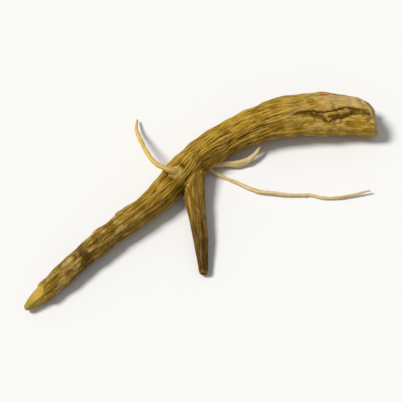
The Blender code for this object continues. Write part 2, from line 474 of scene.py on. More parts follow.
@dataclass(frozen=True)
class Knot:
    """A bump, scar or pit on the surface.

    Args:
        distance: how far along the strand.
        angle: the way round it.
        half_length: its reach along the strand.
        half_width: its reach across.
        height: how far it stands out, or down where negative.
        dimple: how deep its middle is sunk again.
        dimple_spread: the dimple's size, as a share of the knot's.
    """

    distance: float
    angle: float
    half_length: float
    half_width: float
    height: float = 0.0
    dimple: float = 0.0
    dimple_spread: float = 0.45

    def nearness(self, spot: Spot, spread: float = 1.0) -> Array:
        """How near points are to the knot's middle.

        Args:
            spot: where they lie on the strand.
            spread: how many times its own size the knot is read at.

        Returns:
            1 at the middle, falling to 0 around it.
        """
        around = turn_apart(spot.angle, self.angle) * spot.radius / (self.half_width * spread)
        past = (spot.distance - self.distance) / (self.half_length * spread)
        return np.exp(-(past**2) - around**2)

    def rise(self, spot: Spot) -> Array:
        """The knot's height at a spot, with its sunken middle."""
        mound = self.height * self.nearness(spot)
        return mound - self.dimple * self.nearness(spot, self.dimple_spread)


@dataclass(frozen=True)
class Stain:
    """A spot of colour on the main root.

    Args:
        layer: the layer that takes it.
        place: where it is and how far it reaches.
        strength: how strong it is, from 0 to 1.
    """

    layer: Layer
    place: Knot
    strength: float


@dataclass(frozen=True)
class Crack:
    """A crack along the bark.

    Args:
        line: distance and angle of each point that it passes through.
        half_width: how far it reaches to each side.
        depth: how deep it is.
        run: the length over which each end fades in.
        shake: how far it wanders.
        shake_length: how long each wandering is.
        shake_slant: how many times slower it crosses the noise's cells, so that it never repeats.
        seed: which wandering it takes.
        open_end: whether it runs out through the broken end.
        shade: how dark the painted shade in it is, from 0 to 1.
    """

    line: Course
    half_width: float
    depth: float
    run: float
    shake: float = 0.2
    shake_length: float = 0.9
    shake_slant: float = 3.0
    seed: float = 0.0
    open_end: bool = False
    shade: float = 1.0

    def dent(self, spot: Spot) -> Array:
        """How deep the crack cuts.

        Args:
            spot: where the points lie on the strand.

        Returns:
            Depths in millimetres.
        """
        along = spot.distance / self.shake_length
        cells = (along, np.full_like(along, self.seed), along / self.shake_slant)
        wander = cloud(np.stack(cells, axis=-1))
        facing = follow(self.line, spot.distance)
        around = turn_apart(spot.angle, facing) * spot.radius + self.shake * wander
        opening = smooth_step((spot.distance - self.line[0][0]) / self.run)
        if not self.open_end:
            opening = opening * smooth_step((self.line[-1][0] - spot.distance) / self.run)
        return self.depth * opening * fade(around, self.half_width)


@dataclass(frozen=True)
class Furrows:
    """A net of furrows that run along a strand, part round islands and meet again.

    Args:
        across: the spacing of the furrows.
        along: the length of their islands.
        depth: how deep they are.
        width: how wide they are, as a share of the noise's height.
        seed: which net it is.
        valley: how wide the dip round each furrow is, in the same shares.
        valley_depth: how much of the depth the dip has.
    """

    across: float
    along: float
    depth: float
    width: float
    seed: float
    valley: float = 0.42
    valley_depth: float = 0.4

    def dent(self, straight: Array) -> Array:
        """How deep the furrows cut.

        Args:
            straight: unrolled places on a strand.

        Returns:
            Depths in millimetres.
        """
        value = np.abs(cloud(straight / (self.across, self.across, self.along) + self.seed))
        cut = fade(value, self.width)
        dip = np.clip(1.0 - value / self.valley, 0.0, 1.0) ** 2
        return self.depth * ((1.0 - self.valley_depth) * cut + self.valley_depth * dip)


@dataclass
class Strand:
    """One strand of the root: a tube that grows along its route.

    Args:
        name: what the strand is called.
        stops: its route and radii.
        sides: how many sides its rings have.
        ring_gap: how far apart they are.
        near_end: the rings that close its near end.
        far_end: the rings that close its far end.
        ridges: its long ridges.
        knots: its bumps, scars and pits.
        lump: how far its girth swells and shrinks, as a share.
        lump_length: how long each swelling is, in radii.
        lump_seed: which swellings it has.
        collar: how far its seam with the main root swells.
        wrinkled: the share of the furrows' full depth, along it.
        mottled: how grainy and mottled its skin is, along it.
        golden: how golden its skin is, along it.
        dark: how far painted shade darkens its skin, along it.
        lumpy: the height of the lumps in its skin, along it.
        fine: 1 for a pale rootlet without thick bark.
    """

    name: str
    stops: Stops
    sides: int
    ring_gap: float
    near_end: EndRings = ROOTLET_END
    far_end: EndRings = ROOTLET_END
    ridges: tuple[Ridges, ...] = ()
    knots: tuple[Knot, ...] = ()
    lump: float = 0.0
    lump_length: float = 3.0
    lump_seed: float = 12.0
    collar: float = 1.2
    wrinkled: Course = ((0.0, 0.15),)
    mottled: Course = ((0.0, 0.0),)
    golden: Course = ((0.0, 0.0),)
    dark: Course = ((0.0, 0.0),)
    lumpy: Course = ((0.0, 0.02),)
    fine: float = 0.0
    route: Route = field(init=False)

    def __post_init__(self) -> None:
        """Draws the strand's centre line."""
        self.route = Route(self.stops)

    def ring_places(self) -> Array:
        """How far along the strand its body has rings."""
        count = round(self.route.length / self.ring_gap)
        return np.linspace(0.0, self.route.length, count + 1)

    def ring_rows(self) -> Array:
        """Lists every ring, both closed ends included.

        Returns:
            Distance, share of the radius and overshoot of each.
        """
        rows = [(0.0, share, -past) for share, past in reversed(self.near_end)]
        rows += [(distance, 1.0, 0.0) for distance in self.ring_places()]
        rows += [(self.route.length, share, past) for share, past in self.far_end]
        return np.array(rows)

    def radius_at(self, spot: Spot) -> Array:
        """The strand's radius with its ridges and lumps.

        Args:
            spot: where to measure it.

        Returns:
            Radii in millimetres.
        """
        swellings = spot.distance / (self.lump_length * spot.radius)
        cells = np.stack((np.cos(spot.angle), np.sin(spot.angle), swellings), axis=-1)
        relief = spot.radius * self.lump * cloud(cells + self.lump_seed)
        for ridges in self.ridges:
            relief = relief + ridges.rise(spot)
        return spot.radius + relief

    def share(self, gap: Array, own_gap: Array) -> Array:
        """The strand's share of points that lie this far outside another strand and itself."""
        return np.clip(0.5 + 0.5 * (gap - own_gap) / self.collar, 0.0, 1.0)

    def overshoot(self, spot: Spot, share: Array) -> Array:
        """How far a ring's points are pushed along a plain strand: not at all."""
        return np.zeros_like(share)

    def grow(self) -> Object:
        """Makes the strand's closed tube: a grid wrapped round its rings.

        Returns:
            The tube's object, in metres.
        """
        rows = self.ring_rows()
        turn = np.arange(self.sides + 1) % self.sides / self.sides * FULL_TURN
        distance, angle = np.meshgrid(rows[:, 0], turn, indexing="ij")
        spot = self.route.spot(distance, angle)
        share = np.broadcast_to(rows[:, 1][:, None], distance.shape)
        past = rows[:, 2][:, None] + self.overshoot(spot, share)
        places = self.route.place(spot, self.radius_at(spot) * share, past) * MM

        tube = bmesh.new()
        bmesh.ops.create_grid(tube, x_segments=self.sides, y_segments=len(rows) - 1, size=1.0)
        for vert, place in zip(tube.verts, places.reshape(-1, 3).tolist()):
            vert.co = place
        bmesh.ops.remove_doubles(tube, verts=tube.verts, dist=MERGE_DISTANCE * MM)
        bmesh.ops.recalc_face_normals(tube, faces=tube.faces)
        return show(self.name, tube)


@dataclass
class MainRoot(Strand):
    """The tap root itself, from its peeled thin end to its split, broken crown.

    Args:
        lobes: count, share of the radius, starting angle and turn for each millimetre.
        swellings: height and length of the slow swellings along it.
        cracks: the crown's split and the sharp cracks in it.
        peeled_length: how far the thin end is peeled.
        bark_thickness: the step down to the bare wood.
        facets: which way each flat cut on it faces, and the share of the radius that it leaves.
        facet_limit: the least cosine of the angle from a cut's middle at which it still cuts.
        edge_run: how abrupt a bark edge is.
        edge_gap: how far apart the rings are there.
        edge_waves: the ragged bark edge.
        edge_reach: how far its raggedness reaches.
        lips: distance, length, height and turn of each lip where the bark starts again.
        lip_angle: which way they face.
        lip_width: how wide they are, in radians.
        lip_run: the length over which they rise.
        lip_waves: their ragged edge.
        lean: how much further the crown's break reaches on one side.
        lean_angle: that side.
        lean_run: the length over which it builds up.
        bite_angle: the side where the crown is broken away further.
        bite_spread: how far round, in radians.
        bite_depth: how much further.
        chips: the chipped rim.
        face_share: the share of the radius inside which the break is fibrous.
        fibres: their count round the break and from its rim to its middle, and their height.
        fibre_growth: their growth from the middle outwards, in heights for each radius.
        fibre_fade: the share of the radius over which they fade out at the bark.
        core_tilt: how far the woody core stands out on one side and is sunk on the other.
        core_angle: the side where it stands out.
        rim_angle: the side where the broken bark shows pale.
        rim_spread: how far round, in radians.
        rim_run: the length over which bark gives way to the break.
        rim_width: how far from the break the bark is pale.
        rim_share: how wide the pale rim is, as a share of the radius.
        under_calm: how much of the relief the underside loses.
        under_spread: how wide the underside is, in radians.
    """

    lobes: tuple[tuple[int, float, float, float], ...] = (
        (2, 0.04, 0.9, 1 / 70), (3, 0.03, 2.2, -1 / 55), (5, 0.022, 0.4, 1 / 90),
    )
    swellings: tuple[tuple[float, float], ...] = ((0.10, 11.0), (0.07, 5.3))
    cracks: tuple[Crack, ...] = ()
    peeled_length: float = 4.4
    bark_thickness: float = 0.35
    facets: tuple[tuple[float, float], ...] = ((0.25, 0.68), (2.0, 0.6), (3.7, 0.76), (5.1, 0.74))
    facet_limit: float = 0.2
    edge_run: float = 0.3
    edge_gap: float = 0.1
    edge_waves: Waves = (
        (1, 1.1, -2.7), (1, 1.0, -1.13), (2, 0.5, 0.88), (3, 0.25, 0.4), (8, 0.14, 0.7), (13, 0.1, 2.0),
    )
    edge_reach: float = 2.4
    lips: tuple[tuple[float, float, float, float], ...] = ((25.5, 7.0, 0.45, 0.0), (34.6, 9.0, 0.55, 1.9))
    lip_angle: float = 2.5
    lip_width: float = 0.6
    lip_run: float = 0.9
    lip_waves: Waves = ((2, 0.9, 0.3), (5, 0.25, 1.1), (9, 0.1, 2.3))
    lean: float = 1.0
    lean_angle: float = -0.6
    lean_run: float = 9.0
    bite_angle: float = 2.25
    bite_spread: float = 0.6
    bite_depth: float = 3.0
    chips: Waves = ((3, 0.3, 0.7), (5, 0.2, 2.0), (13, 0.07, 0.3), (23, 0.05, 1.1))
    face_share: float = 0.9
    fibres: tuple[tuple[float, float, float], ...] = ((5.0, 2.2, 0.45), (11.5, 5.0, 0.2))
    fibre_growth: float = 3.0
    fibre_fade: float = 0.15
    core_tilt: float = 0.35
    core_angle: float = 0.3
    rim_angle: float = 1.95
    rim_spread: float = 0.7
    rim_run: float = 0.2
    rim_width: float = 0.45
    rim_share: float = 0.05
    under_calm: float = 0.75
    under_spread: float = 0.55

    def ring_places(self) -> Array:
        """Finds where the root's body has rings, closer together at each bark edge.

        Returns:
            Distances along the root.
        """
        edges = [self.peeled_length, *(lip[0] for lip in self.lips)]
        margin = self.edge_run / 2
        close = [np.arange(start - margin, start + 3 * margin, self.edge_gap) for start in edges]
        return np.unique(np.concatenate((super().ring_places(), *close)))

    def radius_at(self, spot: Spot) -> Array:
        """The radius with lobes, ridges, bark edges, the split and the knots.

        Args:
            spot: where to measure it.

        Returns:
            Radii in millimetres.
        """
        distance, angle, radius = spot.distance, spot.angle, spot.radius
        on_bark = smooth_step(distance / self.peeled_length)
        relief = sum(ridges.rise(spot) for ridges in self.ridges) * on_bark
        for count, share, start, turn in self.lobes:
            relief = relief + radius * share * np.cos(count * (angle - start - distance * turn))
        for height, length in self.swellings:
            relief = relief + height * np.sin(distance / length * FULL_TURN)
        under = fade(turn_apart(angle, UNDERSIDE), self.under_spread)
        relief = relief * (1.0 - self.under_calm * under)
        for knot in self.knots:
            relief = relief + knot.rise(spot)
        peeled = 1.0 - smooth_step((distance - self.peeled_length) / self.edge_run)
        # A flat cut lies further from the line away from its middle, and misses the far side
        turned = [np.maximum(np.cos(angle - way), self.facet_limit) for way, _ in self.facets]
        flat = np.min([share * radius / turn for (_, share), turn in zip(self.facets, turned)], axis=0)
        wood = np.minimum(radius + relief - self.bark_thickness, flat)
        relief = relief + (wood - radius - relief) * peeled
        on_shoulder = fade(turn_apart(angle, self.lip_angle), self.lip_width)
        for start, length, height, turn in self.lips:
            past = distance - start - waves_at(angle + turn, self.lip_waves)
            rise = smooth_step(past / self.lip_run)
            fall = 1.0 - smooth_step(past / length)
            relief = relief + height * rise * fall * on_shoulder
        for crack in self.cracks:
            relief = relief - crack.dent(spot)
        return radius + relief

    def overshoot(self, spot: Spot, share: Array) -> Array:
        """How far the ragged bark edge and the leaning, fibrous break are pushed along.

        Args:
            spot: where the rings' points lie.
            share: the share of the radius that each ring has.

        Returns:
            Millimetres along the root.
        """
        distance, angle = spot.distance, spot.angle
        near_edge = fade(distance - self.peeled_length, self.edge_reach)
        near_crown = smooth_step((distance - self.route.length + self.lean_run) / self.lean_run)
        way = np.stack((np.cos(angle), np.sin(angle), share), axis=-1)
        rough = sum(height * cloud(way * (turns, turns, inward)) for turns, inward, height in self.fibres)
        rough = rough * np.minimum(share * self.fibre_growth, 1.0)
        rough = rough * smooth_step((self.face_share - share) / self.fibre_fade)
        core = rough + self.core_tilt * np.cos(angle - self.core_angle) * share
        on_face = (share < self.face_share) & (distance >= self.route.length)
        whole = near_edge * waves_at(angle, self.edge_waves) + near_crown * self.lean_at(angle)
        return whole * share + np.where(on_face, core, 0.0)

    def lean_at(self, angle: Array) -> Array:
        """How much further the crown's break reaches at an angle.

        Args:
            angle: the way round the root.

        Returns:
            Millimetres along the root.
        """
        bite = fade(turn_apart(angle, self.bite_angle), self.bite_spread)
        lean = self.lean * np.cos(angle - self.lean_angle) + waves_at(angle, self.chips)
        return lean - self.bite_depth * bite

    def brokenness(self, reading: Reading) -> tuple[Array, Array]:
        """Where the crown is broken across, and where its rim shows pale.

        Args:
            reading: where the points lie.

        Returns:
            1 on the broken face and 0 on bark, and 1 on the pale rim.
        """
        share = np.minimum(reading.off / self.radius_at(reading), 1.0)
        past = reading.beyond - self.lean_at(reading.angle) * share
        # Round the bite the bark is chipped off a little way back too
        inside = (share < self.face_share) & (reading.distance > self.route.length / 2)
        face = np.where(inside, 1.0, smooth_step(past / self.rim_run))
        at_edge = smooth_step((share - self.face_share) / self.rim_share)
        shown = fade(turn_apart(reading.angle, self.rim_angle), self.rim_spread, 4)
        rim = smooth_step((past + self.rim_width) / self.rim_run) * at_edge * shown
        return face * (1.0 - at_edge * (1.0 - shown)), rim

    def crackedness(self, reading: Reading) -> Array:
        """How dark the cracks' painted shade is: each one's own shade in its middle, 0 away from them all.
        """
        dents = [crack.dent(reading) * crack.shade / crack.depth for crack in self.cracks]
        return np.max(dents, axis=0)

    def bareness(self, reading: Reading) -> Array:
        """Where the thin end's wood is bare: 1 there, 0 on bark."""
        edge = self.peeled_length + waves_at(reading.angle, self.edge_waves)
        return 1.0 - smooth_step((reading.distance - edge) / self.edge_run)


@dataclass
class DriedRoot:
    """The whole root: its strands, fused in one skin, wrinkled and dressed.

    Args:
        name: the piece's name.
        main: the tap root.
        branches: the side root and the rootlets.
        stains: the coloured spots on the main root.
        furrows: the nets of furrows, from coarse to fine.
        fineness: how much finer a pale rootlet's furrows are, as a share.
        lumps: width, length and share of the height of the lumps in the skin.
        wood_calm: how much of the furrows and lumps the bare wood loses.
        meander: how far the furrows swing sideways.
        meander_length: how long a swing is.
        meander_change: how soon it changes round a strand, in cells for each radian.
        knot_pull: how far the furrows bend round a knot, as a share of their way from it.
        knot_spread: how far round a knot they bend, in times its own size.
        olive_length: how far the thin end's olive tint reaches.
        stain_grains: size and height of the raggedness of a stain's edge.
        stain_edge: the nearness at which a stain starts, and how much further it is full.
        least_push: the least strength of a collar's push, for where its two ways nearly cancel out.
        seam_width: how far each side of a seam the skin is smoothed, in collars.
        seam_reach: how far outside both strands' tubes a seam's skin may lie.
        seam_rounds: how many times it is smoothed.
        seam_merge: points of a seam closer than this become one.
        seam_middle: how far from an even share a point still lies in a collar's middle.
        furrow_rounds: how many times the skin is smoothed to find its furrows.
        valley_rounds: how many times it is smoothed to find its valleys.
    """

    name: str
    main: MainRoot
    branches: tuple[Strand, ...]
    stains: tuple[Stain, ...]
    furrows: tuple[Furrows, ...] = (
        Furrows(3.0, 26.0, 0.14, 0.08, 11.0),
        Furrows(1.2, 14.0, 0.17, 0.16, 23.0),
        Furrows(0.66, 9.0, 0.17, 0.24, 37.0),
    )
    fineness: float = 0.6
    lumps: tuple[tuple[float, float, float], ...] = ((2.1, 6.0, 1.0), (0.9, 1.8, 0.5))
    wood_calm: float = 0.6
    meander: float = 0.4
    meander_length: float = 9.0
    meander_change: float = 1.3
    knot_pull: float = 0.4
    knot_spread: float = 1.9
    olive_length: float = 3.4
    stain_grains: tuple[tuple[float, float], ...] = ((0.6, 0.55), (1.7, 0.4))
    stain_edge: tuple[float, float] = (0.25, 0.6)
    least_push: float = 0.35
    seam_width: float = 0.45
    seam_reach: float = 1.0
    seam_rounds: int = 12
    seam_merge: float = 0.03
    seam_middle: float = 0.2
    furrow_rounds: int = 10
    valley_rounds: int = 80

    def build(self) -> Object:
        """Grows, fuses, swells and wrinkles the root.

        Returns:
            The finished piece.
        """
        body = self.fuse()
        self.swell_seams(body.data)
        self.wrinkle(body.data)
        self.rest(body.data)
        body.data.shade_smooth()
        return body

    def fuse(self) -> Object:
        """Joins the branches to the main root in one closed skin.

        Returns:
            The fused object.
        """
        body = self.main.grow()
        body.name = self.name
        bunch = bpy.data.collections.new("branches")
        grown = [branch.grow() for branch in self.branches]
        for thing in grown:
            bunch.objects.link(thing)
        union = body.modifiers.new("union", "BOOLEAN")
        union.operation = "UNION"
        union.operand_type = "COLLECTION"
        union.collection = bunch
        union.solver = "MANIFOLD"
        depsgraph = bpy.context.evaluated_depsgraph_get()
        joined = bpy.data.meshes.new_from_object(body.evaluated_get(depsgraph))
        body.modifiers.clear()
        body.data = joined
        joined.name = self.name
        for thing in grown:
            bpy.data.objects.remove(thing)
        bpy.data.collections.remove(bunch)
        return body

    def swell_seams(self, mesh: Mesh) -> None:
        """Swells the creases where strands meet into smooth collars.

        Args:
            mesh: the fused skin.
        """
        places = read_places(mesh)
        reading = self.main.route.look(places)
        push = np.zeros_like(places)
        near_seam = np.zeros(len(places), bool)
        for branch in self.branches:
            other = branch.route.look(places)
            apart = np.abs(reading.gap - other.gap) / branch.collar
            bulge = branch.collar / 4 * np.clip(1.0 - apart, 0.0, 1.0) ** 2
            share = branch.share(reading.gap, other.gap)[:, None]
            way = (1 - share) * reading.outward + share * other.outward
            strength = np.maximum((way**2).sum(axis=1), self.least_push)
            push += (bulge / strength)[:, None] * way
            near_seam |= (apart < self.seam_width) & (np.minimum(reading.gap, other.gap) < self.seam_reach)
        write_places(mesh, places + push)

        skin = bmesh.new()
        skin.from_mesh(mesh)
        skin.verts.ensure_lookup_table()
        seam = [skin.verts[i] for i in np.flatnonzero(near_seam)]
        bmesh.ops.remove_doubles(skin, verts=seam, dist=self.seam_merge * MM)
        seam = [vert for vert in seam if vert.is_valid]
        axes = {"use_axis_x": True, "use_axis_y": True, "use_axis_z": True}
        for _ in range(self.seam_rounds):
            bmesh.ops.smooth_vert(skin, verts=seam, factor=0.5, **axes)
        bmesh.ops.triangulate(skin, faces=[face for face in skin.faces if len(face.verts) > 4])
        # Merged points can leave two faces folded flat on each other
        twins: dict[frozenset, list] = {}
        for face in skin.faces:
            twins.setdefault(frozenset(face.verts), []).append(face)
        folded = [face for pair in twins.values() if len(pair) > 1 for face in pair]
        bmesh.ops.delete(skin, geom=folded, context="FACES")
        skin.to_mesh(mesh)
        skin.free()

    def shares(self, places: Array) -> tuple[list[Reading], list[Array]]:
        """Which strand each point belongs to, blended over the collars.

        Args:
            places: points in millimetres, one a row.

        Returns:
            Each strand's reading of the points, and its share of each point.
        """
        readings = [self.main.route.look(places)]
        weights = [np.ones(len(places))]
        gap = readings[0].gap
        for branch in self.branches:
            readings.append(branch.route.look(places))
            share = branch.share(gap, readings[-1].gap)
            weights = [*(weight * (1 - share) for weight in weights), share]
            gap = np.minimum(gap, readings[-1].gap)
        return readings, weights

    def unroll(self, strand: Strand, reading: Reading) -> Array:
        """Unrolls a strand, bent round its knots, for patterns that run along it.

        Args:
            strand: the strand.
            reading: where the points lie on it.

        Returns:
            Places in millimetres, with the strand's length as the third axis.
        """
        distance, angle, radius = reading.distance, reading.angle, reading.radius
        across, rise = np.cos(angle) * self.meander_change, np.sin(angle) * self.meander_change
        swings = cloud(np.stack((across, rise, distance / self.meander_length), axis=-1))
        bent = Spot(distance, angle + self.meander * swings / radius, radius)
        for knot in strand.knots:
            near = knot.nearness(bent, self.knot_spread)
            bent.angle = bent.angle - self.knot_pull * near * turn_apart(bent.angle, knot.angle)
        reach = np.minimum(radius, reading.off)
        return np.stack((reach * np.cos(bent.angle), reach * np.sin(bent.angle), distance), axis=-1)

    def skin(self, readings: list[Reading], weights: list[Array]) -> tuple[Array, dict[Layer, Array]]:
        """Blends the strands' furrows, lumps and layers over the collars.

        Args:
            readings: each strand's reading of the points.
            weights: its share of each point.

        Returns:
            How far each point rises, and the layers that follow the strands.
        """
        count = len(weights[0])
        rise = np.zeros(count)
        kinds = (Layer.WRINKLED, Layer.MOTTLED, Layer.GOLDEN, Layer.DARK, Layer.FINE)
        layers = {which: np.zeros(count) for which in kinds}
        layers[Layer.STRAIGHT] = np.zeros((count, 3))
        for strand, whole, share in zip((self.main, *self.branches), readings, weights):
            some = np.flatnonzero(share > 0.0)
            weight, reading = share[some], whole.pick(some)
            unrolled = self.unroll(strand, reading)
            if strand is not self.main:
                # In the collar's middle the pattern starts where the main root's leaves off
                seam = np.abs(weight - 0.5) < self.seam_middle
                there = self.unroll(self.main, readings[0].pick(some[seam]))
                unrolled = unrolled + (there - unrolled[seam]).mean(axis=0)
            courses = (strand.wrinkled, strand.mottled, strand.golden, strand.dark, ((0.0, strand.fine),))
            for which, course in zip(kinds, courses):
                layers[which][some] += weight * follow(course, reading.distance)
            layers[Layer.STRAIGHT][some] += weight[:, None] * unrolled
            size = 1.0 - self.fineness * strand.fine
            dent = sum(net.dent(unrolled / size) * size for net in self.furrows)
            dent = dent * follow(strand.wrinkled, reading.distance)
            lumps = sum(part * cloud(unrolled / (wide, wide, long)) for wide, long, part in self.lumps)
            rise[some] += weight * (lumps * follow(strand.lumpy, reading.distance) - dent)
        return rise, layers

    def wrinkle(self, mesh: Mesh) -> None:
        """Presses furrows and lumps into the skin and keeps what the finish reads.

        Args:
            mesh: the fused skin.
        """
        places = read_places(mesh)
        normals = read_rows(mesh.vertex_normals, "vector")
        readings, weights = self.shares(places)
        rise, layers = self.skin(readings, weights)
        main, weight = readings[0], weights[0]
        wood = self.main.bareness(main) * weight
        face, rim = self.main.brokenness(main)
        rise *= (1.0 - self.wood_calm * wood) * (1.0 - face * weight)
        moved = places + normals * rise[:, None]
        write_places(mesh, moved)

        # Painted shade in the cracks, for the finish
        layers[Layer.CRACKED] = self.main.crackedness(main) * weight
        for which, tint in self.stained(places, main).items():
            layers[which] = tint * weight
        layers[Layer.RIM] = np.maximum(rim * weight, layers[Layer.RIM])
        layers[Layer.BARE] = np.maximum(wood, face * (1.0 - rim) * weight)
        layers[Layer.BROKEN] = face * weight
        layers[Layer.OLIVE] = wood * (1.0 - smooth_step(main.distance / self.olive_length))
        # The finish paints highlights onto the crests and shade into the furrows and valleys by these
        for which, rounds in ((Layer.HOLLOW, self.furrow_rounds), (Layer.DEEP, self.valley_rounds)):
            layers[which] = self.hollowness(mesh, moved, normals, rounds)
        for which, values in layers.items():
            write_layer(mesh, which, values)

    def stained(self, places: Array, reading: Reading) -> dict[Layer, Array]:
        """How strongly each spot colours each point, with ragged edges.

        Args:
            places: the points, in millimetres.
            reading: where they lie on the main root.

        Returns:
            Strengths from 0 to 1 for each layer that the stains have.
        """
        ragged = sum(height * cloud(places / size) for size, height in self.stain_grains)
        start, run = self.stain_edge
        tints: dict[Layer, Array] = {}
        for stain in self.stains:
            near = stain.place.nearness(reading)
            tint = stain.strength * smooth_step((near + ragged - start) / run)
            tints[stain.layer] = np.maximum(tints.get(stain.layer, 0.0), tint)
        return tints

    def hollowness(self, mesh: Mesh, places: Array, normals: Array, rounds: int) -> Array:
        """How far each point lies below the smoothed skin around it.

        Args:
            mesh: the skin, for its edges.
            places: its points, in millimetres.
            normals: their outward directions.
            rounds: how many times the skin is smoothed.

        Returns:
            Millimetres, negative on crests.
        """
        one, two = read_rows(mesh.edges, "vertices", 2, int).T
        count = len(places)
        near = np.maximum(np.bincount(one, minlength=count) + np.bincount(two, minlength=count), 1)
        smooth = places.copy()
        for _ in range(rounds):
            total = [
                np.bincount(one, axis[two], count) + np.bincount(two, axis[one], count)
                for axis in smooth.T
            ]
            smooth = 0.5 * smooth + 0.5 * np.stack(total, axis=-1) / near[:, None]
        return ((smooth - places) * normals).sum(axis=1)

    def rest(self, mesh: Mesh) -> None:
        """Flattens what would reach below the surface that the root lies on.

        Args:
            mesh: the wrinkled skin.
        """
        places = read_places(mesh)
        log.info("lowest point before resting: %.2f mm", places[:, 2].min())
        places[:, 2] = np.maximum(places[:, 2], 0.0)
        write_places(mesh, places)


def make_ridges(draws: random.Random, *patterns: tuple[int, float, float, float]) -> tuple[Ridges, ...]:
    """Makes a strand's long ridges, each from its own starting place.

    Args:
        draws: where the starting places come from.
        patterns: count, height, wander and pace of each set of ridges.

    Returns:
        The sets of ridges.
    """
    return tuple(Ridges(*pattern, draws.uniform(0.0, FULL_TURN)) for pattern in patterns)


def make_root() -> DriedRoot:
    """The root with the sizes of the one in the picture.

    Returns:
        The sub-assembly, not yet built.
    """
    draws = random.Random(17)
    split = ((89.0, 1.2), (97.0, 1.1), (102.5, 0.78), (106.5, 0.88), (110.0, 1.25), (118.0, 1.4))
    upper = (
        (93.0, 1.18), (97.8, 1.2), (101.5, 1.1), (104.5, 1.22), (108.0, 1.46), (112.0, 1.44),
        (118.0, 1.36),
    )
    lower = (
        (99.2, 0.82), (102.9, 0.59), (104.5, 0.735), (107.4, 0.87), (109.0, 1.05), (112.0, 1.21),
        (114.8, 1.39),
    )
    main = MainRoot(
        name="main root",
        stops=MAIN_ROUTE,
        sides=216,
        ring_gap=0.36,
        near_end=THIN_END,
        far_end=CROWN_END,
        ridges=make_ridges(draws, (10, 0.09, 1.6, 9.0), (16, 0.06, 2.2, 7.0)),
        wrinkled=((0.0, 0.15), (30.0, 0.25), (48.0, 0.9), (86.0, 1.0), (97.0, 0.25), (116.0, 0.2)),
        mottled=((0.0, 0.9), (32.0, 0.8), (48.0, 0.2), (86.0, 0.15), (97.0, 1.0), (116.0, 1.0)),
        golden=((0.0, 0.15), (30.0, 0.3), (48.0, 1.0), (116.0, 0.9)),
        # Painted shade on the lower root, darkest about 20 mm from the thin end
        dark=((0.0, 0.0), (10.0, 0.05), (20.0, 0.75), (28.0, 0.4), (48.0, 0.15), (60.0, 0.0)),
        lumpy=((0.0, 0.1), (30.0, 0.14), (46.0, 0.06), (88.0, 0.06), (99.0, 0.22), (116.0, 0.22)),
        knots=(
            Knot(16.0, 1.62, 1.6, 1.1, 0.25),
            Knot(54.5, 1.57, 1.6, 1.4, 0.5),
            Knot(72.5, 1.15, 1.5, 0.8, 0.4, 0.25),
            Knot(36.0, 3.9, 1.2, 0.9, 0.4),
            Knot(64.0, 2.9, 1.5, 1.1, 0.5),
            Knot(88.0, 3.3, 1.8, 1.3, 0.5),
            Knot(95.0, 5.6, 1.4, 1.0, -0.5),
            Knot(102.0, 2.35, 1.1, 1.0, -0.7),
        ),
        cracks=(
            Crack(split, 1.2, 0.65, 9.0, open_end=True),
            Crack(upper, 0.36, 0.32, 4.0, shake=0.28, seed=3.0, open_end=True, shade=0.9),
            Crack(lower, 0.4, 0.2, 4.0, shake=0.4, seed=9.0, shade=0.65),
        ),
    )
    side = Strand(
        name="side root",
        stops=SIDE_ROUTE,
        sides=96,
        ring_gap=0.3,
        far_end=SIDE_END,
        ridges=make_ridges(draws, (5, 0.10, 0.9, 6.0), (7, 0.06, 1.2, 5.0)),
        lump=0.08,
        lump_seed=9.0,
        collar=2.0,
        wrinkled=((0.0, 0.35), (30.0, 0.3)),
        mottled=((0.0, 0.25),),
        # Painted shade, darker towards the side root's tip
        dark=((0.0, 0.1), (8.0, 0.3), (18.0, 0.75), (26.0, 1.0)),
        lumpy=((0.0, 0.05),),
    )
    hook = Strand("hook rootlet", HOOK_ROUTE, 20, 0.3, lump=0.25, fine=1.0)
    thread = Strand("thread rootlet", THREAD_ROUTE, 18, 0.3, lump=0.25, lump_seed=14.0, fine=1.0)
    arch = Strand("arch rootlet", ARCH_ROUTE, 20, 0.3, lump=0.2, golden=((0.0, 1.0),), fine=1.0)
    stains = (
        Stain(Layer.GREEN, Knot(16.2, 1.6, 1.5, 0.65), 0.4),
        # Darkens a small spot beside the arch rootlet's base
        Stain(Layer.SCAR, Knot(56.4, 1.4, 1.2, 0.8), 0.85),
        Stain(Layer.PALE, Knot(107.0, 1.85, 9.0, 3.2), 0.9),
        Stain(Layer.PALE, Knot(94.0, 1.2, 5.0, 3.0), 0.5),
        Stain(Layer.RED, Knot(102.2, 2.3, 1.2, 1.0), 0.8),
        Stain(Layer.RED, Knot(72.5, 1.15, 1.4, 0.8), 0.3),
        Stain(Layer.RIM, Knot(115.4, 0.83, 0.7, 0.45), 0.9),
    )
    return DriedRoot("ashwagandha_root", main, (side, hook, thread, arch), stains)


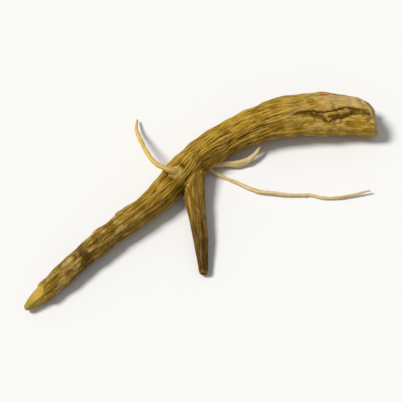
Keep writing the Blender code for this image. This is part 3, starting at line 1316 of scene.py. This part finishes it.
@dataclass(frozen=True)
class Pattern:
    """A noise pattern, sized by what it stands for.

    Args:
        across: the width of a streak or patch.
        along: its length along the root.
        low: the height of the noise that gives 0.
        high: the height of the noise that gives 1.
        detail: how many finer layers the noise has.
        middle: the height that low and high are counted from, for a pattern of thin lines.
        roughness: how strong each finer layer is beside the one before it.
    """

    across: float
    along: float
    low: float
    high: float
    detail: float = 3.0
    middle: float = 0.0
    roughness: float = 0.55

    def share(self, tree: NodeTree, place: NodeSocket) -> NodeSocket:
        """Adds the pattern's nodes.

        Args:
            tree: the node tree to add to.
            place: unrolled places along the root, in millimetres.

        Returns:
            The pattern, from 0 to 1.
        """
        size = (1 / self.across, 1 / self.across, 1 / self.along)
        turned = {"Vector": place, "Scale": size, "Rotation": LATTICE_ANGLES}
        scaled = add_node(tree, "ShaderNodeMapping", turned)
        rough = {"Scale": 1.0, "Detail": self.detail, "Roughness": self.roughness}
        cells = add_node(tree, "ShaderNodeTexNoise", {"Vector": scaled.outputs[0], **rough})
        height = {0: cells.outputs["Fac"], 1: self.middle}
        apart = add_node(tree, "ShaderNodeMath", height, operation="SUBTRACT")
        away = add_node(tree, "ShaderNodeMath", {0: apart.outputs[0]}, operation="ABSOLUTE")
        limits = {"Value": away.outputs[0], "From Min": self.low, "From Max": self.high}
        return add_node(tree, "ShaderNodeMapRange", limits).outputs[0]


@dataclass(frozen=True)
class Coat:
    """One coat of colour, and where it shows.

    Args:
        colour: its sRGB colour.
        source: the layer or the pattern that it follows.
        start: the value at which it starts to show.
        full: the value at which it shows most.
        most: how much of it shows there, from 0 to 1.
        within: the layer that limits it further.
    """

    colour: str
    source: Layer | Pattern
    start: float = 0.0
    full: float = 1.0
    most: float = 1.0
    within: Layer | None = None


@dataclass(frozen=True)
class BarkFinish:
    """Dried root bark: a thin, dull, fibrous cork skin over pale wood.

    It gives the eye a matt skin with a faint waxy gloss on its rubbed crests, which also carry a
    painted highlight, thin wrinkle lines along the root darkened with painted shade, a grainy,
    mottled cork where it is not wrinkled, furrows, valleys and cracks darkened with painted shade,
    painted shade along the side root and the lower main root, and straw-coloured wood where it is
    bare.

    Args:
        bark: the bark's ground colour.
        bark_coats: what lies over it.
        rootlet: the pale rootlets' ground colour.
        rootlet_coats: what lies over it.
        wood: the bare wood's ground colour.
        wood_coats: what lies over it.
        rim: a freshly broken bark edge's colour.
        fibres: the fine weave of the bark.
        lines: the thin wrinkle lines.
        weave_depth: how deep the weave and the lines are.
        line_share: how much of that depth the lines have.
        sheen: the strength of the gloss.
        crest: the hollowness and the roughness of a rubbed crest.
        furrow: the same of a furrow, whose dark colour is painted shade.
    """

    bark: str = "#80600f"
    bark_coats: tuple[Coat, ...] = (
        Coat("#a67e16", Layer.GOLDEN),
        # Painted shade along the side root and the lower main root
        Coat("#533806", Layer.DARK),
        Coat("#563b08", Pattern(2.6, 9.0, 0.46, 0.72), most=0.4),
        Coat("#b89240", Pattern(1.8, 8.0, 0.5, 0.72), most=0.4),
        Coat("#8c761e", Pattern(2.6, 5.0, 0.5, 0.66), most=0.5, within=Layer.MOTTLED),
        Coat("#5e4410", Pattern(1.9, 4.6, 0.5, 0.68), most=0.5, within=Layer.MOTTLED),
        Coat("#d0ac6a", Pattern(1.6, 3.4, 0.5, 0.66), most=0.65, within=Layer.MOTTLED),
        Coat("#bb9548", Pattern(0.6, 1.2, 0.53, 0.68, 2.0), most=0.5, within=Layer.MOTTLED),
        Coat("#463006", Pattern(0.5, 1.4, 0.54, 0.68, 2.0), most=0.45, within=Layer.MOTTLED),
        Coat("#e0c084", Layer.PALE, most=0.5),
        Coat("#c9a241", Pattern(0.5, 7.0, 0.52, 0.7), most=0.6, within=Layer.WRINKLED),
        # Painted shade in the thin wrinkle lines, on the same noise as their bump
        Coat("#543a07", Pattern(0.6, 9.0, 0.055, 0.01, 2.0, 0.5), most=0.65, within=Layer.WRINKLED),
        # Painted shade in the crown's split and cracks
        Coat("#64460d", Layer.CRACKED, 0.15, 0.95, 0.75),
        # Painted highlight on the crests
        Coat("#cda84c", Layer.HOLLOW, -0.008, -0.055, 0.6),
        # More painted shade where the side root and the lower main root are darkest
        Coat("#452a04", Layer.DARK, 0.5, 1.0, 0.65),
        # Painted shade in the furrows
        Coat("#452c06", Layer.HOLLOW, 0.01, 0.085, 0.8),
        # Painted shade in the broad valleys
        Coat("#5a3e0b", Layer.DEEP, 0.06, 0.32, 0.7),
        Coat("#4a3208", Pattern(0.5, 0.7, 0.66, 0.74, 1.0), most=0.35),
        # Colour of the dark spot beside the arch rootlet's base
        Coat("#33200a", Layer.SCAR),
        Coat("#b5ab78", Layer.GREEN),
        Coat("#94542c", Layer.RED),
    )
    rootlet: str = "#dec28e"
    rootlet_coats: tuple[Coat, ...] = (
        Coat("#dab660", Layer.GOLDEN),
        Coat("#b38f4e", Pattern(0.35, 6.0, 0.45, 0.75), most=0.5),
    )
    wood: str = "#ba9a42"
    wood_coats: tuple[Coat, ...] = (
        Coat("#9c8132", Pattern(0.35, 6.0, 0.45, 0.75), most=0.6),
        Coat("#97862f", Layer.OLIVE, most=0.75),
        Coat("#dcc995", Layer.BROKEN, most=0.7),
        Coat("#a88c4a", Pattern(0.7, 0.7, 0.46, 0.66), most=0.6, within=Layer.BROKEN),
    )
    rim: str = "#d9bf7c"
    # Real bark fibres are a few hundredths of a millimetre thick, so these are coarser, to show
    fibres: Pattern = Pattern(0.2, 1.7, 0.3, 0.7, 3.0)
    lines: Pattern = Pattern(0.6, 9.0, 0.01, 0.055, 2.0, 0.5)
    weave_depth: float = 0.11
    line_share: float = 0.6
    sheen: float = 0.13
    crest: tuple[float, float] = (-0.06, 0.55)
    furrow: tuple[float, float] = (0.05, 0.9)

    def lay(self, tree: NodeTree, layers: Sockets, ground: str, coats: tuple[Coat, ...]) -> NodeSocket:
        """Lays coats of colour one over the other.

        Args:
            tree: the node tree to add to.
            layers: what reads each of the mesh's layers.
            ground: the colour below them all.
            coats: the coats, from the lowest up.

        Returns:
            The colour that results.
        """
        below: object = linear(ground)
        for coat in coats:
            if isinstance(coat.source, Pattern):
                value = coat.source.share(tree, layers[Layer.STRAIGHT])
            else:
                value = layers[coat.source]
            limits = {"Value": value, "From Min": coat.start, "From Max": coat.full, "To Max": coat.most}
            shown = add_node(tree, "ShaderNodeMapRange", limits, interpolation_type="SMOOTHSTEP")
            if coat.within is not None:
                both = {0: shown.outputs[0], 1: layers[coat.within]}
                shown = add_node(tree, "ShaderNodeMath", both, operation="MULTIPLY")
            colours = {0: shown.outputs[0], 6: below, 7: linear(coat.colour)}
            below = add_node(tree, "ShaderNodeMix", colours, data_type="RGBA").outputs[2]
        return below

    def material(self) -> Material:
        """Makes the finish.

        Returns:
            The material.
        """
        bark = bpy.data.materials.new("dried root bark")
        bark.use_nodes = True
        tree = bark.node_tree
        shader = tree.nodes["Principled BSDF"]
        layers: Sockets = {}
        for which in Layer:
            reader = add_node(tree, "ShaderNodeAttribute", {}, attribute_name=which.value)
            layers[which] = reader.outputs["Vector" if which is Layer.STRAIGHT else "Fac"]
        colour = self.lay(tree, layers, self.bark, self.bark_coats)
        skin = self.lay(tree, layers, self.rootlet, self.rootlet_coats)
        wood = self.lay(tree, layers, self.wood, self.wood_coats)
        for which, inner in ((Layer.FINE, skin), (Layer.BARE, wood), (Layer.RIM, linear(self.rim))):
            colours = {0: layers[which], 6: colour, 7: inner}
            colour = add_node(tree, "ShaderNodeMix", colours, data_type="RGBA").outputs[2]
        tree.links.new(colour, shader.inputs["Base Color"])
        shader.inputs["Specular IOR Level"].default_value = self.sheen
        gloss = {
            "Value": layers[Layer.HOLLOW],
            "From Min": self.crest[0],
            "From Max": self.furrow[0],
            "To Min": self.crest[1],
            "To Max": self.furrow[1],
        }
        roughness = add_node(tree, "ShaderNodeMapRange", gloss)
        tree.links.new(roughness.outputs[0], shader.inputs["Roughness"])
        weaves = [pattern.share(tree, layers[Layer.STRAIGHT]) for pattern in (self.fibres, self.lines)]
        ridge = {0: self.line_share, 2: weaves[0], 3: weaves[1]}
        height = add_node(tree, "ShaderNodeMix", ridge, data_type="FLOAT")
        relief = {"Distance": self.weave_depth * MM, "Height": height.outputs[0]}
        weave = add_node(tree, "ShaderNodeBump", relief)
        tree.links.new(weave.outputs[0], shader.inputs["Normal"])
        return bark


@dataclass(frozen=True)
class BoardFinish:
    """Matt white studio board: an even, pale ground that only takes the root's soft shadow.

    Args:
        colour: its sRGB colour.
        roughness: how matt it is.
    """

    colour: str = "#ecebe8"
    roughness: float = 0.9

    def material(self) -> Material:
        """Makes the finish.

        Returns:
            The material.
        """
        board = bpy.data.materials.new("matt white board")
        board.use_nodes = True
        shader = board.node_tree.nodes["Principled BSDF"]
        shader.inputs["Base Color"].default_value = linear(self.colour)
        shader.inputs["Roughness"].default_value = self.roughness
        return board


@dataclass(frozen=True)
class Studio:
    """A pale floor, a soft lamp in a pale room, and the camera.

    Args:
        board: the floor's finish.
        floor_half: half the floor's width, in metres.
        key: the direction from the root to the lamp.
        key_angle: how wide the lamp looks, in degrees.
        key_power: its strength.
        room: the colour of the light that comes from all round.
        room_power: its strength.
        azimuth: which way the camera looks, in degrees from +Y.
        elevation: how far it looks down, in degrees.
        roll: how far it is turned about its line of sight, in degrees.
        distance: from the root to the lens, in metres.
        fill: the share of the picture's width that the root takes.
        aim_rounds: how many times it is aimed again to bring the root to the middle.
        nearest: the least distance that it sees, in metres.
    """

    board: BoardFinish = BoardFinish()
    floor_half: float = 2.0
    key: tuple[float, float, float] = (-0.46, 0.32, 0.82)
    key_angle: float = 18.0
    key_power: float = 3.1
    room: str = "#f4f6fa"
    room_power: float = 0.36
    azimuth: float = -28.2
    elevation: float = 58.3
    roll: float = -3.3
    distance: float = 0.525
    fill: float = 0.88
    aim_rounds: int = 4
    nearest: float = 0.01

    def floor(self) -> Object:
        """Makes the pale floor.

        Returns:
            The floor's object.
        """
        sheet = bmesh.new()
        bmesh.ops.create_grid(sheet, x_segments=1, y_segments=1, size=self.floor_half)
        floor = show("floor", sheet)
        floor.data.materials.append(self.board.material())
        return floor

    def light(self) -> None:
        """Lights the root from the upper left, with a pale room all round."""
        lamp = bpy.data.lights.new("key", "SUN")
        lamp.energy = self.key_power
        lamp.angle = math.radians(self.key_angle)
        show("key", lamp).rotation_euler = Vector(self.key).to_track_quat("Z", "Y").to_euler()
        world = bpy.data.worlds.new("pale room")
        world.use_nodes = True
        backdrop = world.node_tree.nodes["Background"]
        backdrop.inputs["Color"].default_value = linear(self.room)
        backdrop.inputs["Strength"].default_value = self.room_power
        bpy.context.scene.world = world
        bpy.context.scene.view_settings.view_transform = "Standard"

    def camera(self, subject: Object) -> None:
        """Points the camera so that the root fills its share of the picture.

        Args:
            subject: the finished root.
        """
        turn, tilt, roll = (math.radians(angle) for angle in (self.azimuth, self.elevation, self.roll))
        flat = math.cos(tilt)
        back = np.array((math.sin(turn) * flat, -math.cos(turn) * flat, math.sin(tilt)))
        level = np.array((math.cos(turn), math.sin(turn), 0.0))
        right = math.cos(roll) * level + math.sin(roll) * np.cross(back, level)
        up = np.cross(back, right)
        places = read_places(subject.data) * MM
        target = places.mean(axis=0)
        for _ in range(self.aim_rounds):
            apart = places - (target + back * self.distance)
            depth = -(apart @ back)
            sideways = apart @ right / depth
            upwards = apart @ up / depth
            target = target + self.distance * (
                right * (sideways.max() + sideways.min()) / 2 + up * (upwards.max() + upwards.min()) / 2
            )
        lens = bpy.data.cameras.new("camera")
        lens.sensor_fit = "HORIZONTAL"
        lens.lens = lens.sensor_width * self.fill / (sideways.max() - sideways.min())
        lens.clip_start = self.nearest
        eye = show("camera", lens)
        eye.location = target + back * self.distance
        eye.rotation_euler = Matrix((right, up, back)).transposed().to_euler()
        bpy.context.scene.camera = eye


def main() -> None:
    """Builds the root and the studio, and reports each."""
    logging.basicConfig(level=logging.INFO, format="%(name)s: %(message)s")
    root = make_root().build()
    root.data.materials.clear()
    root.data.materials.append(BarkFinish().material())
    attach(root, "root")
    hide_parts("root")
    log.info("%s: %d triangles", root.name, sum(len(face.vertices) - 2 for face in root.data.polygons))
    studio = Studio()
    floor = studio.floor()
    studio.light()
    studio.camera(root)
    log.info("studio ready")
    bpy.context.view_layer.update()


if __name__ == "__main__":
    main()
